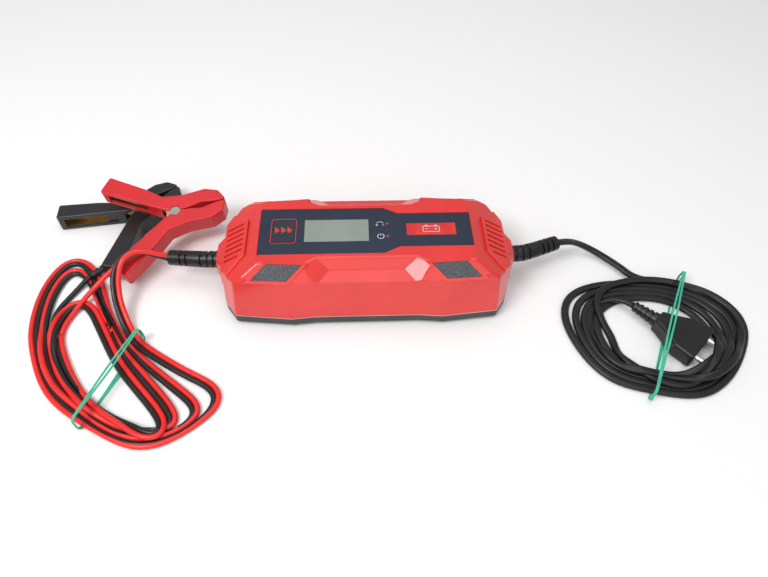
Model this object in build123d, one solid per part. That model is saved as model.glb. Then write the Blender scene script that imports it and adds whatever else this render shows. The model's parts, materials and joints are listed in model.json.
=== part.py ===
from build123d import *
import os
from math import atan2, cos, degrees, hypot, pi, radians, sin, tan

# A small car battery charger: a faceted two-shell housing with a display panel,
# a mains lead with a flat two-pin plug, and an output lead with two spring clamps.
# Millimetres, +Z up. The origin is the centre of the housing, on the surface it stands on.
# +X runs along the housing towards the mains lead, +Y points to its rear side.

# ---------------------------------------------------------------- driving dimensions
# housing plan, at the joint between the two shells
CENTRE_Y = 42.1          # half depth in the middle of the long walls
KNEE_Y = 43.6            # half depth at the knees, where the long walls are proudest
CENTRE_X = 35.0          # where the hollow middle of the long wall starts to rise
KNEE_X = 51.0
CORNER_X = 88.5          # where the long wall turns into the cut corner
CORNER_Y = 39.6
END_X = 96.5             # half length of the housing
END_Y = 28.0             # where the cut corner meets the end wall

# housing heights
FOOT_PROUD = 1.2         # how far the rubber feet stand below the base
JOINT_Z = 9.2            # top of the base shell
GASKET_H = 0.6
SHELL_Z = JOINT_Z + GASKET_H
CREASE_Z = 40.3          # where the long walls turn into the long slopes
DECK_Z = 49.3

# housing faces above the joint
DECK_X = 71.0            # where the deck turns into the end slopes
CREASE_X = 85.5          # where the end slope meets the height of the crease
END_SLOPE = atan2(DECK_Z - CREASE_Z, CREASE_X - DECK_X)
VENT_START_X = 72.2      # the raised vent field: where its plane meets the deck's height
VENT_PROUD = 0.75
VENT_END_X = 95.0
GROOVES = 7
GROOVE_W = 2.1
GROOVE_PITCH = 4.7
GROOVE_DEPTH = 1.3
VENT_EDGE_R = 0.6
WALL = 2.5
EDGE_R = 3.5              # rounding of the edges between the housing's faces
PLAN_R = 2.0              # rounding of the upright corners of the base

# display panel in the deck
PANEL_X = 71.0
PANEL_WIDE_Y = 20.8
PANEL_NARROW_Y = 15.4
PANEL_STEP_X = (12.0, 22.0)
PANEL_DEPTH = 1.0
OVERLAY_T = 0.6
WINDOW = (-42.0, 2.8, -10.7, 11.3)       # x from, x to, y from, y to
BUTTON = (-62.4, -47.3, -9.8, 10.8)
BUTTON_GAP = 0.25
BUTTON_TRAVEL = 0.8
LED_X = 14.3
LED_Y = (6.0, -5.5)

# textured grip pads on the long slopes
PAD_TOP_X = (41.6, 64.3)
PAD_BOTTOM_X = (51.2, 73.5)
PAD_T = 0.8
PAD_RIM_W = 2.2          # the raised rim around each pad
PAD_RIM_PROUD = 0.7
PAD_RIM_R = 0.5

# screws, feet and boards
POST_AT = (78.0, 24.0)
FOOT_AT = (70.0, 30.5)
FOOT_R = 6.0
BOARD_SCREW_AT = (66.0, 26.0)
BOARD_Z = 12.0
BOARD_T = 1.6
BOARD_TOP = BOARD_Z + BOARD_T
DISPLAY_BOARD_Z = 38.6
DISPLAY_BOARD_TOP = DISPLAY_BOARD_Z + BOARD_T
SWITCH_TOP = 43.4

# leads
LEAD_Z = 22.0            # height of the cable outlets in the end walls
BOSS_X = 102.0
INNER_X = 92.5           # where the strain reliefs and the inner wires start
INNER_WIRE_Y = (2.5, -2.5)
MAINS_W = 5.2            # flat two-core mains lead, laid on its flat side
TWIN_W = 7.2             # output lead of two joined wires
WIRE_D = 3.6             # one wire of the output lead
RELIEF_END = (137.4, 12.0, 20.0)
OUTPUT_RELIEF_END = (-137.0, 4.5, 20.0)
MAINS_ROUTE = [
    RELIEF_END, (147.5, 16.5, 17.0), (158.0, 20.0, 11.0), (168.5, 18.5, 6.0),
    (178.0, 12.0, 4.0), (186.0, 3.0, 4.0), (193.5, -7.5, 4.5),
]
OUTPUT_ROUTE = [
    OUTPUT_RELIEF_END, (-144.0, 4.5, 22.5), (-151.5, 3.8, 27.2), (-160.5, 1.8, 30.2), (-167.5, -4.5, 28.4),
    (-170.5, -14.0, 22.0), (-169.5, -24.0, 14.5), (-166.5, -34.0, 9.5),
]
BLACK_WIRE_ROUTE = [
    (-196.0, 2.0, 4.8), (-201.0, -3.4, 3.2), (-206.5, -13.2, 2.2), (-211.0, -23.0, 2.4),
]
RED_WIRE_ROUTE = [
    (-176.5, -1.0, 15.0), (-181.0, -3.6, 12.6), (-185.5, -7.4, 10.2), (-189.5, -11.5, 8.4),
]

# coiled leads, seen from above, and the rubber bands round them
COIL_H = 13.0
MAINS_COIL = [
    (204, -9), (227, -13), (246, -21), (257, -34), (259, -52), (252, -72), (236, -94), (217, -108),
    (199, -108), (180, -103), (160, -98), (147, -83), (139, -60), (135, -37), (142, -17), (168, -8),
]
MAINS_HOLE = [(165, -52), (180, -30), (222, -36), (231, -56), (218, -81), (188, -80), (168, -68)]
OUTPUT_COIL = [
    (-227, -42), (-229, -10), (-220, 20), (-204, 33), (-186, 20), (-171, -21), (-153, -51), (-135, -63), (-114, -77),
    (-94, -86), (-89, -96), (-94, -108), (-107, -120), (-124, -130), (-140, -132), (-160, -122),
    (-180, -110), (-203, -92), (-219, -67),
]
OUTPUT_HOLE = [(-196, -42), (-186, -30), (-172, -55), (-158, -88), (-172, -96), (-186, -78)]
OUTPUT_SIDE_HOLE = [(-214, -14), (-213, 12), (-203, 21), (-196, 10), (-196, -12), (-204, -22)]
BAND_W = 2.6
BAND_H = COIL_H + 1
BAND_T = 1.0
MAINS_BAND = (176.5, -107.5, 228.5, -10.0)           # x, y of one end and of the other
OUTPUT_BAND = (-175.5, -116.5, -149.5, -50.0)

# plug
PLUG_AT = (186.0, -36.5, 6.65)       # where the lead enters the plug's sleeve
PLUG_TURN = -46.0                    # which way the plug points, about +Z
PLUG_T = 12.0
PLUG_SLEEVE_L = 17.0
PLUG_BODY_L = 33.0
PIN_R = 2.0
PIN_L = 19.0
PIN_SPACING = 18.6
PLUG_FRAME = Pos(*PLUG_AT) * Rot(0, 0, PLUG_TURN)

# spring clamps
CLAMP_W = 13.6           # width over the covers
COVER_T = 1.3
PLATE_T = 1.0
CABLE_PLATE_W = 11.0     # the arm that holds the wire has the outer ears
FREE_PLATE_W = 8.6       # the free arm's ears sit between them
JAW_L = 37.0
HANDLE_L = 59.0
HANDLE_ANGLE = 40.0
RIVET_R = 2.0
RIVET_HEAD_R = 3.5
RIVET_GAP = 0.05
COVER_R = 1.2            # rounding along the covers' side faces
ARM_OUTLINE_R = 1.6      # rounding of the corners in the arms' side view
EAR_R = 6.4
SPRING_WIRE_R = 0.7
SPRING_R = 4.1
CLAMPS = {
    "red": Pos(-137.5, 42.0, 23.8) * Rot(11.3, 0, 0) * Rot(0, 0, 16.1),
    "black": Pos(-173.6, 61.8, CLAMP_W / 2) * Rot(0, 0, 43.0),
}
BOOT_R = 3.6
BOOTS = {
    "red": [(-163.0, 3.5, 16.3), (-176.5, -1.0, 15.0)],
    "black": [(-180.0, 13.5, 6.8), (-196.0, 2.0, 4.8)],
}

BIG = 500.0
CENTRE = Vector(0, 0, 15)

os.makedirs("parts", exist_ok=True)


# ---------------------------------------------------------------- helpers
def save(node, shape):
    solids = shape.solids()
    shape = solids[0] if len(solids) == 1 else Compound(children=list(solids))
    export_step(shape, f"parts/{node}.step")


def box(x0, x1, y0, y1, z0, z1):
    """An upright block between the given limits."""
    return Pos((x0 + x1) / 2, (y0 + y1) / 2, (z0 + z1) / 2) * Box(x1 - x0, y1 - y0, z1 - z0)


def rod(x, y, z0, z1, radius):
    return Pos(x, y, (z0 + z1) / 2) * Cylinder(radius, z1 - z0)


def cut_above(body, origin, normal):
    """Take away what lies on the normal's side of a plane."""
    return body - Plane(origin=origin, z_dir=normal).location * Pos(0, 0, BIG / 2) * Box(BIG, BIG, BIG)


def wall_plane(a, b, c):
    """The plane through three points, with its normal pointing out of the housing."""
    a, b, c = Vector(a), Vector(b), Vector(c)
    normal = (b - a).cross(c - a).normalized()
    return a, normal if normal.dot(a - CENTRE) > 0 else normal * -1


def inside_of(planes, inset=0.0):
    block = Box(BIG, BIG, BIG)
    for points in planes:
        origin, normal = wall_plane(*points)
        block = cut_above(block, origin - normal * inset, normal)
    return block


def outside_of(planes, inset=0.0):
    block = Box(BIG, BIG, BIG)
    for points in planes:
        origin, normal = wall_plane(*points)
        block = cut_above(block, origin - normal * inset, normal * -1)
    return block


def mirrored(planes, sx, sy):
    return [[(sx * x, sy * y, z) for x, y, z in points] for points in planes]


# ---------------------------------------------------------------- housing faces
QUARTER_FACES = [
    # long slope with the grip pads
    [(42.0, 29.4, DECK_Z), (DECK_X, 27.6, DECK_Z), (KNEE_X, 38.2, CREASE_Z)],
    # long wall from the knee to the cut corner
    [(KNEE_X, KNEE_Y, 9.5), (CORNER_X, CORNER_Y, 9.5), (KNEE_X, 38.2, CREASE_Z)],
    # cut corner
    [(CORNER_X, CORNER_Y, 9.5), (END_X, END_Y, 9.5), (84.7, 37.0, CREASE_Z)],
]
LONG_FACES = [
    # long wall between the knees, before the hollow is taken out of it
    [(0, KNEE_Y, 9.5), (10, KNEE_Y, 9.5), (0, 38.2, CREASE_Z)],
]
END_FACES = [
    [(END_X, 0, 9.5), (END_X, 10, 9.5), (96.0, 0, 33.8)],
    [(DECK_X, 0, DECK_Z), (DECK_X, 10, DECK_Z), (CREASE_X, 0, CREASE_Z)],
]
HOLLOW_FACES = [
    [(0, CENTRE_Y, 9.5), (10, CENTRE_Y, 9.5), (0, 37.6, CREASE_Z)],
    [(CENTRE_X, CENTRE_Y, 9.5), (KNEE_X, KNEE_Y, 9.5), (33.0, 37.6, CREASE_Z)],
    [(-CENTRE_X, CENTRE_Y, 9.5), (-KNEE_X, KNEE_Y, 9.5), (-33.0, 37.6, CREASE_Z)],
]
VALLEY_FACES = [
    [(0, 24.4, DECK_Z), (10, 24.4, DECK_Z), (0, 29.4, 43.0)],
    [(0, 29.4, 43.0), (10, 29.4, 43.0), (0, 37.6, CREASE_Z)],
    [(33.0, 24.4, DECK_Z), (24.0, 29.4, 43.0), (31.0, 37.6, CREASE_Z)],
    [(-33.0, 24.4, DECK_Z), (-24.0, 29.4, 43.0), (-31.0, 37.6, CREASE_Z)],
]


def faceted_body(inset, bottom_z):
    """The housing's faceted form above bottom_z, shrunk by inset on every face."""
    faces = []
    for sx in (1, -1):
        faces += mirrored(END_FACES, sx, 1)
        for sy in (1, -1):
            faces += mirrored(QUARTER_FACES, sx, sy)
    for sy in (1, -1):
        faces += mirrored(LONG_FACES, 1, sy)
    body = inside_of(faces, inset) & box(-120, 120, -60, 60, bottom_z, DECK_Z - inset)
    for sy in (1, -1):
        body -= outside_of(mirrored(HOLLOW_FACES, 1, sy), inset)
        body -= outside_of(mirrored(VALLEY_FACES, 1, sy), inset)
    return body


def beside_hollow(edge):
    """True for the shallow edges where the hollow of a long wall runs out."""
    return all(30 < abs(v.X) < KNEE_X + 0.5 and abs(v.Y) > 37.3 for v in edge.vertices())


def rounded_body():
    """The faceted form with its edges rounded, except round its open underside."""
    body = faceted_body(0, SHELL_Z)
    edges = [e for e in body.edges() if e.bounding_box().max.Z > SHELL_Z + 0.01 and not beside_hollow(e)]
    return body.fillet(EDGE_R, edges)


# ---------------------------------------------------------------- housing shells
def plan_outline(inset):
    """The base's outline, seen from above, shrunk by inset."""
    quarter = [(CENTRE_X, CENTRE_Y), (KNEE_X, KNEE_Y), (CORNER_X, CORNER_Y), (END_X, END_Y)]
    left = [(-x, y) for x, y in reversed(quarter)]
    half = left + quarter
    rear = [(x, -y) for x, y in reversed(half)]
    sharp = make_face(Polyline(*half, *rear, close=True))
    smaller = offset(sharp, amount=-inset - PLAN_R, kind=Kind.INTERSECTION)
    return offset(smaller, amount=PLAN_R, kind=Kind.ARC)


def slab(z0, z1, inset):
    return Pos(0, 0, z0) * extrude(plan_outline(inset), z1 - z0)


def vent_field(sx):
    """The raised field of each end slope that carries the ventilation grooves."""
    faces = [
        [(VENT_START_X, 0, DECK_Z + VENT_PROUD), (VENT_START_X, 10, DECK_Z + VENT_PROUD),
         (VENT_START_X + CREASE_X - DECK_X, 0, CREASE_Z + VENT_PROUD)],
        [(97.2, 0, 25.0), (97.2, 10, 25.0), (96.9, 0, 34.0)],
        [(CORNER_X, CORNER_Y, 9.5), (END_X, END_Y, 9.5), (84.7, 37.0, CREASE_Z)],
        [(CORNER_X, -CORNER_Y, 9.5), (END_X, -END_Y, 9.5), (84.7, -37.0, CREASE_Z)],
    ]
    field = inside_of(mirrored(faces, sx, 1))
    plan = Polyline((80, 16), (95, 31), (110, 31), (110, -31), (95, -31), (80, -16), close=True)
    prism = Pos(0, 0, 25.0) * extrude(make_face(plan), 40)
    field = (field & (prism if sx > 0 else mirror(prism, Plane.YZ))).solids()[0]
    upper = [e for e in field.edges() if e.bounding_box().max.Z > 30 and e.bounding_box().size.Z < 25]
    outer = [e for e in upper if max(abs(v.X) for v in e.vertices()) > 80.5]
    return field.fillet(VENT_EDGE_R, outer)


def vent_grooves(sx):
    """Grooves that run down each end slope."""
    tools = []
    for i in range(GROOVES):
        y = GROOVE_PITCH * (i - (GROOVES - 1) / 2) - 0.9
        inner = 82.3 + max(0.0, abs(y) - 12.5)
        reach = [(x - VENT_START_X) / cos(END_SLOPE) for x in (inner, VENT_END_X)]
        groove = box(*reach, y - GROOVE_W / 2, y + GROOVE_W / 2, -GROOVE_DEPTH, 3)
        tools.append(Pos(VENT_START_X, 0, DECK_Z + VENT_PROUD) * Rot(0, degrees(END_SLOPE), 0) * groove)
    return [t if sx > 0 else mirror(t, Plane.YZ) for t in tools]


def cable_boss(sx):
    """The flared block in each end wall that the strain relief sits in."""
    wide = Plane(origin=(94.0, 0, LEAD_Z), x_dir=(0, 1, 0), z_dir=(1, 0, 0)) * RectangleRounded(34, 26, 5)
    tip = Plane(origin=(BOSS_X, 0, LEAD_Z), x_dir=(0, 1, 0), z_dir=(1, 0, 0)) * RectangleRounded(19, 17, 5)
    boss = loft([wide, tip])
    return boss if sx > 0 else mirror(boss, Plane.YZ)


def panel_outline(inset):
    """The display panel: wide at the button and the window, narrower over the badge."""
    x0, x1 = PANEL_STEP_X
    upper = [(-PANEL_X, PANEL_WIDE_Y), (x0, PANEL_WIDE_Y), (x1, PANEL_NARROW_Y), (PANEL_X, PANEL_NARROW_Y)]
    lower = [(x, -y) for x, y in reversed(upper)]
    return offset(make_face(Polyline(*upper, *lower, close=True)), amount=-inset, kind=Kind.INTERSECTION)


def panel_openings(z0, z1, gap):
    """Blocks for the window, the button and the two indicator lights."""
    x0, x1, y0, y1 = WINDOW
    tools = [box(x0, x1, y0, y1, z0, z1)]
    x0, x1, y0, y1 = BUTTON
    tools.append(box(x0 - gap, x1 + gap, y0 - gap, y1 + gap, z0, z1))
    for y in LED_Y:
        tools.append(rod(LED_X, y, z0, z1, 1.5))
    return tools


def pad_place(sx, sy):
    """Local frame of a long slope: x along the housing, y up the slope, z out of it."""
    origin, normal = wall_plane(*mirrored([QUARTER_FACES[0]], sx, sy)[0])
    along = Vector(DECK_X - 42.0, (27.6 - 29.4) * sy * sx, 0).normalized()
    top_middle = Vector(sx * (PAD_TOP_X[0] + PAD_TOP_X[1]) / 2, sy * 28.7, DECK_Z)
    return Plane(origin=top_middle, x_dir=along, z_dir=normal)


def pad_outline(sx, sy, grow):
    """A parallelogram that leans outwards as it goes down the slope."""
    half = (PAD_TOP_X[1] - PAD_TOP_X[0]) / 2
    lean = PAD_BOTTOM_X[0] - PAD_TOP_X[0]
    top, bottom = -0.6, -11.2
    points = [(-half, top), (half, top), (half + lean, bottom), (-half + lean, bottom)]
    points = [(sx * x, y) for x, y in points]
    face = make_face(Polyline(*points, close=True))
    return offset(face, amount=grow, kind=Kind.INTERSECTION) if grow else face


def on_slope(sx, sy, face, z0, z1):
    place = pad_place(sx, sy)
    # the local y axis must point up the slope on all four slopes
    if place.y_dir.Z < 0:
        face = mirror(face, Plane.XZ)
    return place.location * Pos(0, 0, z0) * extrude(face, z1 - z0)


def four_places(place):
    """A point and its mirror images across the housing's length and depth."""
    return [(sx * place[0], sy * place[1]) for sx in (1, -1) for sy in (1, -1)]


def pad_rim(sx, sy):
    """The raised frame of a grip pad, not higher than the deck."""
    rim = on_slope(sx, sy, pad_outline(sx, sy, PAD_RIM_W), -1.0, PAD_RIM_PROUD).solids()[0]
    rim = rim.fillet(PAD_RIM_R, rim.faces().sort_by(Axis.Z)[-1].edges())
    return cut_above(rim, (0, 0, DECK_Z), (0, 0, 1))


def top_shell():
    shell = rounded_body()
    for sx in (1, -1):
        shell += vent_field(sx)
        shell += cable_boss(sx) & box(-120, 120, -60, 60, SHELL_Z, 60)
    for sx in (1, -1):
        for sy in (1, -1):
            shell += pad_rim(sx, sy)
    for sx in (1, -1):
        shell -= vent_grooves(sx)
        for sy in (1, -1):
            shell -= on_slope(sx, sy, pad_outline(sx, sy, 0.2), -0.3, 3.0)
    shell -= faceted_body(WALL, SHELL_Z - 1)
    shell -= Pos(0, 0, DECK_Z - PANEL_DEPTH) * extrude(panel_outline(0), 5)
    shell -= panel_openings(DECK_Z - 6, DECK_Z + 1, BUTTON_GAP)
    for x, y in four_places(POST_AT):
        shell += rod(x, y, SHELL_Z, 42.0, 4.0)
        shell -= rod(x, y, SHELL_Z - 1, 26.0, 1.35)
    for sx in (1, -1):
        shell -= cable_hole(sx)
    return shell


def cable_hole(sx):
    hole = Pos(0, 0, LEAD_Z) * Rot(0, 90, 0) * Cylinder(5.0, 30)
    groove = Pos(99.0, 0, LEAD_Z) * Rot(0, 90, 0) * Cylinder(6.6, 2.4)
    hole = Pos(98, 0, 0) * hole + groove
    return hole if sx > 0 else mirror(hole, Plane.YZ)


def base_shell():
    floor_z = FOOT_PROUD
    body = slab(floor_z, JOINT_Z, 0.3)
    body = chamfer(body.faces().sort_by(Axis.Z)[0].edges(), 2.0)
    body -= slab(floor_z + 2.2, JOINT_Z + 1, 2.8)
    for x, y in four_places(POST_AT):
        body += rod(x, y, floor_z + 1, JOINT_Z, 5.0)
        body -= rod(x, y, floor_z - 1, JOINT_Z + 1, 1.7)
        body -= rod(x, y, floor_z - 1, floor_z + 3.0, 3.2)
    for x, y in four_places(BOARD_SCREW_AT):
        body += rod(x, y, floor_z + 1, BOARD_Z, 3.5)
        body -= rod(x, y, floor_z + 2.4, BOARD_Z + 1, 1.2)
    for x, y in four_places(FOOT_AT):
        body -= rod(x, y, floor_z - 1, floor_z + 1.2, FOOT_R + 0.1)
    return body


def rubber_feet():
    feet = []
    for x, y in four_places(FOOT_AT):
        foot = rod(x, y, 0, FOOT_PROUD + 1.2, FOOT_R)
        feet.append(fillet(foot.faces().sort_by(Axis.Z)[0].edges(), 0.6))
    return Compound(children=feet)


def case_screws():
    screws = []
    for x, y in four_places(POST_AT):
        head = rod(x, y, FOOT_PROUD + 0.9, FOOT_PROUD + 3.0, 2.9)
        head -= Pos(x, y, FOOT_PROUD + 0.9) * Box(3.6, 0.8, 2.0)
        head -= Pos(x, y, FOOT_PROUD + 0.9) * Box(0.8, 3.6, 2.0)
        screws.append(head + rod(x, y, FOOT_PROUD + 3.0, 22.0, 1.34))
    return Compound(children=screws)


def shell_gasket():
    ring = slab(JOINT_Z, SHELL_Z, 0.1) - slab(JOINT_Z - 1, SHELL_Z + 1, 2.4)
    return ring


# ---------------------------------------------------------------- panel, display and button
def panel_overlay():
    z0 = DECK_Z - PANEL_DEPTH
    sheet = Pos(0, 0, z0) * extrude(panel_outline(0.15), OVERLAY_T)
    x0, x1, y0, y1 = WINDOW
    sheet -= box(x0 + 1.0, x1 - 1.0, y0 + 1.0, y1 - 1.0, z0 - 1, z0 + 2)
    x0, x1, y0, y1 = BUTTON
    gap = BUTTON_GAP
    sheet -= box(x0 - gap, x1 + gap, y0 - gap, y1 + gap, z0 - 1, z0 + 2)
    for y in LED_Y:
        sheet -= rod(LED_X, y, z0 - 1, z0 + 2, 1.1)
    return sheet


def display_window():
    x0, x1, y0, y1 = WINDOW
    z0 = DECK_Z - PANEL_DEPTH
    pane = box(x0 + 1.05, x1 - 1.05, y0 + 1.05, y1 - 1.05, z0 - 1.2, z0 + OVERLAY_T)
    flange = box(x0 + 0.1, x1 - 0.1, y0 + 0.1, y1 - 0.1, z0 - 1.2, z0)
    return pane + flange


def lcd_glass():
    x0, x1, y0, y1 = WINDOW
    return box(x0 - 1.5, x1 + 1.5, y0 - 1.5, y1 + 1.5, 43.4, 45.9)


def lcd_holder():
    x0, x1, y0, y1 = WINDOW
    frame = box(x0 - 3.5, x1 + 3.5, y0 - 3.5, y1 + 3.5, DISPLAY_BOARD_TOP, 45.4)
    frame -= box(x0 - 1.6, x1 + 1.6, y0 - 1.6, y1 + 1.6, 43.4, 50)
    frame -= box(x0 + 1.0, x1 - 1.0, y0 + 1.0, y1 - 1.0, DISPLAY_BOARD_Z, 50)
    return frame


def display_board():
    board = box(-66, 24, -17, 17, DISPLAY_BOARD_Z, DISPLAY_BOARD_TOP)
    for x in (-64, 22):
        for y in (-15, 15):
            board -= rod(x, y, 30, 50, 1.1)
    return board


def mode_button():
    """The key's cap, with a sloped lower face, on a stem that meets the switch."""
    x0, x1, y0, y1 = BUTTON
    top = DECK_Z
    cap = box(x0, x1, y0, y1, DECK_Z - 3.6, top)
    lower = Plane(origin=(0, y0 + 7.5, top), x_dir=(1, 0, 0), z_dir=(0, -0.08, 1))
    cap -= lower.location * Pos(0, -20, 5.0) * Box(60, 40, 10)
    cap = fillet(cap.edges().filter_by(Axis.Z), 1.4)
    flange = box(x0 - 1.4, x1 + 1.4, y0 - 1.4, y1 + 1.4, DECK_Z - 4.9, DECK_Z - 3.7)
    middle = ((x0 + x1) / 2, (y0 + y1) / 2)
    stem = rod(*middle, SWITCH_TOP, DECK_Z - 3.6, 2.2)
    return cap + flange + box(x0 + 1, x1 - 1, y0 + 1, y1 - 1, DECK_Z - 4.0, DECK_Z - 3.5) + stem


def switch_plunger():
    x0, x1, y0, y1 = BUTTON
    return rod((x0 + x1) / 2, (y0 + y1) / 2, 42.0, SWITCH_TOP, 1.7)


def mode_switch():
    x0, x1, y0, y1 = BUTTON
    x, y = (x0 + x1) / 2, (y0 + y1) / 2
    z0 = DISPLAY_BOARD_TOP
    body = box(x - 3, x + 3, y - 3, y + 3, z0, 42.4)
    body -= rod(x, y, 41.0, 44, 2.0)
    for dx in (-2.2, 2.2):
        for dy in (-3.4, 3.4):
            body += box(x + dx - 0.35, x + dx + 0.35, y + dy - 0.5, y + dy + 0.5, z0, z0 + 0.6)
    return body


def light_pipes():
    pipes = []
    for y in LED_Y:
        pipe = rod(LED_X, y, 43.2, DECK_Z - PANEL_DEPTH + OVERLAY_T, 1.05)
        pipes.append(pipe + rod(LED_X, y, 43.2, 46.4, 1.9))
    return Compound(children=pipes)


def indicator_leds():
    leds = []
    for y in LED_Y:
        led = rod(LED_X, y, DISPLAY_BOARD_TOP, 41.7, 1.4)
        leds.append(led + Pos(LED_X, y, 41.7) * Sphere(1.4))
    return Compound(children=leds)


def grip_pad(sx, sy):
    return on_slope(sx, sy, pad_outline(sx, sy, 0), -0.3, -0.3 + PAD_T)


# ---------------------------------------------------------------- power board
def circuit_board():
    board = box(-72, 72, -31, 31, BOARD_Z, BOARD_TOP)
    for x, y in four_places(BOARD_SCREW_AT):
        board -= rod(x, y, 5, 20, 1.6)
    return board


def board_screws():
    screws = []
    for x, y in four_places(BOARD_SCREW_AT):
        head = rod(x, y, BOARD_TOP, BOARD_TOP + 2.0, 2.8)
        head -= Pos(x, y, BOARD_TOP + 2.0) * Box(3.4, 0.8, 1.8)
        screws.append(head + rod(x, y, FOOT_PROUD + 3.0, BOARD_TOP, 1.19))
    return Compound(children=screws)


def transformer_core():
    """Two E-shaped ferrite halves around the coil former."""
    outer = box(-8, 20, -14, 14, BOARD_TOP + 2.0, BOARD_TOP + 20.0)
    slots = box(-9, 21, -10.5, 10.5, BOARD_TOP + 5.5, BOARD_TOP + 16.5)
    leg = box(-8, 20, -4.5, 4.5, BOARD_TOP + 5.0, BOARD_TOP + 17.0)
    return outer - slots + leg


def transformer_winding():
    """The coil former's base, and the taped winding that goes round the core's middle leg."""
    coil = box(-14, 26, -10.2, 10.2, BOARD_TOP + 5.8, BOARD_TOP + 16.2)
    coil = fillet(coil.edges().filter_by(Axis.Z), 3.0)
    coil -= box(-8.2, 20.2, -4.7, 4.7, BOARD_TOP, BOARD_TOP + 20)
    base = box(-12, 24, -13, 13, BOARD_TOP, BOARD_TOP + 1.8)
    return Compound(children=[base, coil])


def capacitor(x, y, radius, height):
    can = rod(x, y, BOARD_TOP, BOARD_TOP + height, radius)
    can = fillet(can.faces().sort_by(Axis.Z)[-1].edges(), 0.6)
    groove = rod(x, y, BOARD_TOP + 1.6, BOARD_TOP + 2.4, radius + 1)
    return can - (groove - rod(x, y, BOARD_TOP, BOARD_TOP + 4, radius - 0.4))


def input_capacitor():
    return capacitor(38, 0, 9.0, 22.0)


def output_capacitors():
    return Compound(children=[capacitor(-34, y, 5.0, 20.0) for y in (-6.5, 6.5)])


def heat_sink():
    sink = box(-30, 22, 20.5, 22.5, BOARD_TOP, BOARD_TOP + 18.0)
    for i in range(9):
        x = -29 + 6.2 * i
        sink += box(x, x + 1.2, 22.3, 28.0, BOARD_TOP + 3.0, BOARD_TOP + 18.0)
    return sink


def power_transistors():
    bodies = []
    for x in (-20, 4):
        case = box(x - 5, x + 5, 15.9, 20.4, BOARD_TOP + 5, BOARD_TOP + 15)
        for dx in (-2.54, 0, 2.54):
            case += box(x + dx - 0.4, x + dx + 0.4, 17.6, 18.2, BOARD_TOP, BOARD_TOP + 5.2)
        bodies.append(case)
    return Compound(children=bodies)


def relay():
    return fillet(box(-62, -43, -24, -9, BOARD_TOP, BOARD_TOP + 15).edges().filter_by(Axis.Z), 0.8)


def fuse():
    ends = [box(x - 2.5, x + 2.5, -22.6, -17.4, BOARD_TOP, BOARD_TOP + 6.4) for x in (48, 63)]
    tube = Pos(55.5, -20, BOARD_TOP + 3.4) * Rot(0, 90, 0) * Cylinder(2.5, 9.8)
    return Compound(children=ends + [tube])


def line_filter_choke():
    """A toroid core with its windings, standing on the board."""
    ring = Pos(56, 6, BOARD_TOP + 9.0) * Rot(90, 0, 0) * (Cylinder(9.0, 9) - Cylinder(4.0, 20))
    return fillet(ring.edges().filter_by(GeomType.CIRCLE), 1.2)


def control_chip():
    chip = box(-14, -4, -26, -19, BOARD_TOP + 0.3, BOARD_TOP + 2.2)
    for i in range(7):
        x = -13 + 1.27 * i
        chip += box(x - 0.2, x + 0.2, -27.4, -17.6, BOARD_TOP, BOARD_TOP + 0.6)
    return chip


def inner_wires(sx):
    """The lead's two cores, from the strain relief down to the board."""
    wires = []
    for y in INNER_WIRE_Y:
        board_end = (sx * 68, y * 1.6, BOARD_TOP + 1.2)
        points = [(sx * INNER_X, y, LEAD_Z), (sx * 80, y, LEAD_Z - 0.5), board_end]
        path = FilletPolyline(*points, radius=6)
        start = Plane(origin=path @ 0, z_dir=path % 0)
        wires.append(sweep(start * Circle(1.0), path))
    return Compound(children=wires)


# ---------------------------------------------------------------- strain reliefs
def strain_relief(end, sx):
    """A tapered, ribbed sleeve that grips the lead and bends with it."""
    start = (sx * INNER_X, 0, LEAD_Z)
    bend = (sx * 112.0, end[1] * 0.08, LEAD_Z)
    path = FilletPolyline(start, bend, end, radius=28)
    sleeve = Pos(sx * 98.0, 0, LEAD_Z) * Rot(0, 90, 0) * Cylinder(4.9, 11.0)
    flange = Pos(sx * 99.0, 0, LEAD_Z) * Rot(0, 90, 0) * Cylinder(6.4, 2.2)
    body = sleeve + flange
    total = path.length
    outside = (BOSS_X + 0.4 - INNER_X) / total
    stations = [outside + (1 - outside) * i / 4 for i in range(5)]
    for a, b in zip(stations[:-1], stations[1:]):
        body += relief_piece(path, a, b, 6.2 - 0.9 * a, 6.2 - 0.9 * b)
    for k in (0.08, 0.2, 0.32, 0.62, 0.74, 0.86):
        body -= relief_groove(path, outside + (1 - outside) * k)
    return body


def relief_piece(path, a, b, ra, rb):
    first = Plane(origin=path @ a, z_dir=path % a) * Circle(ra)
    last = Plane(origin=path @ b, z_dir=path % b) * Circle(rb)
    return loft([first, last])


def relief_groove(path, t):
    place = Plane(origin=path @ t, z_dir=path % t).location
    return place * (Cylinder(9, 1.5) - Cylinder(4.3, 3) - Box(1.6, 20, 4))


# ---------------------------------------------------------------- leads
def lead_path(points, name):
    """Straight runs joined by arcs as large as the runs allow."""
    radii = []
    for a, b, c in zip(points[:-2], points[1:-1], points[2:]):
        before, after = Vector(b) - Vector(a), Vector(c) - Vector(b)
        turn = radians(before.get_angle(after))
        radii.append(0.45 * min(before.length, after.length) / tan(turn / 2))
    path = FilletPolyline(*points, radius=radii)
    print(name, "radii", [round(r, 1) for r in radii], "length", round(path.length, 1))
    return path


def lead_tube(points, diameter, name):
    path = lead_path(points, name)
    tube = sweep(Plane(origin=path @ 0, z_dir=path % 0) * Circle(diameter / 2), path)
    section = pi * diameter ** 2 / 4 * path.length
    print(name, "volume", round(tube.volume), "section x length", round(section))
    return tube


def coil_solid(outline, hole, height):
    ring = extrude(make_face(Spline(*outline, periodic=True)), height)
    ring = fillet(ring.faces().sort_by(Axis.Z)[-1].edges(), height * 0.3)
    return ring - Pos(0, 0, -1) * extrude(make_face(Spline(*hole, periodic=True)), height + 2)


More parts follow.
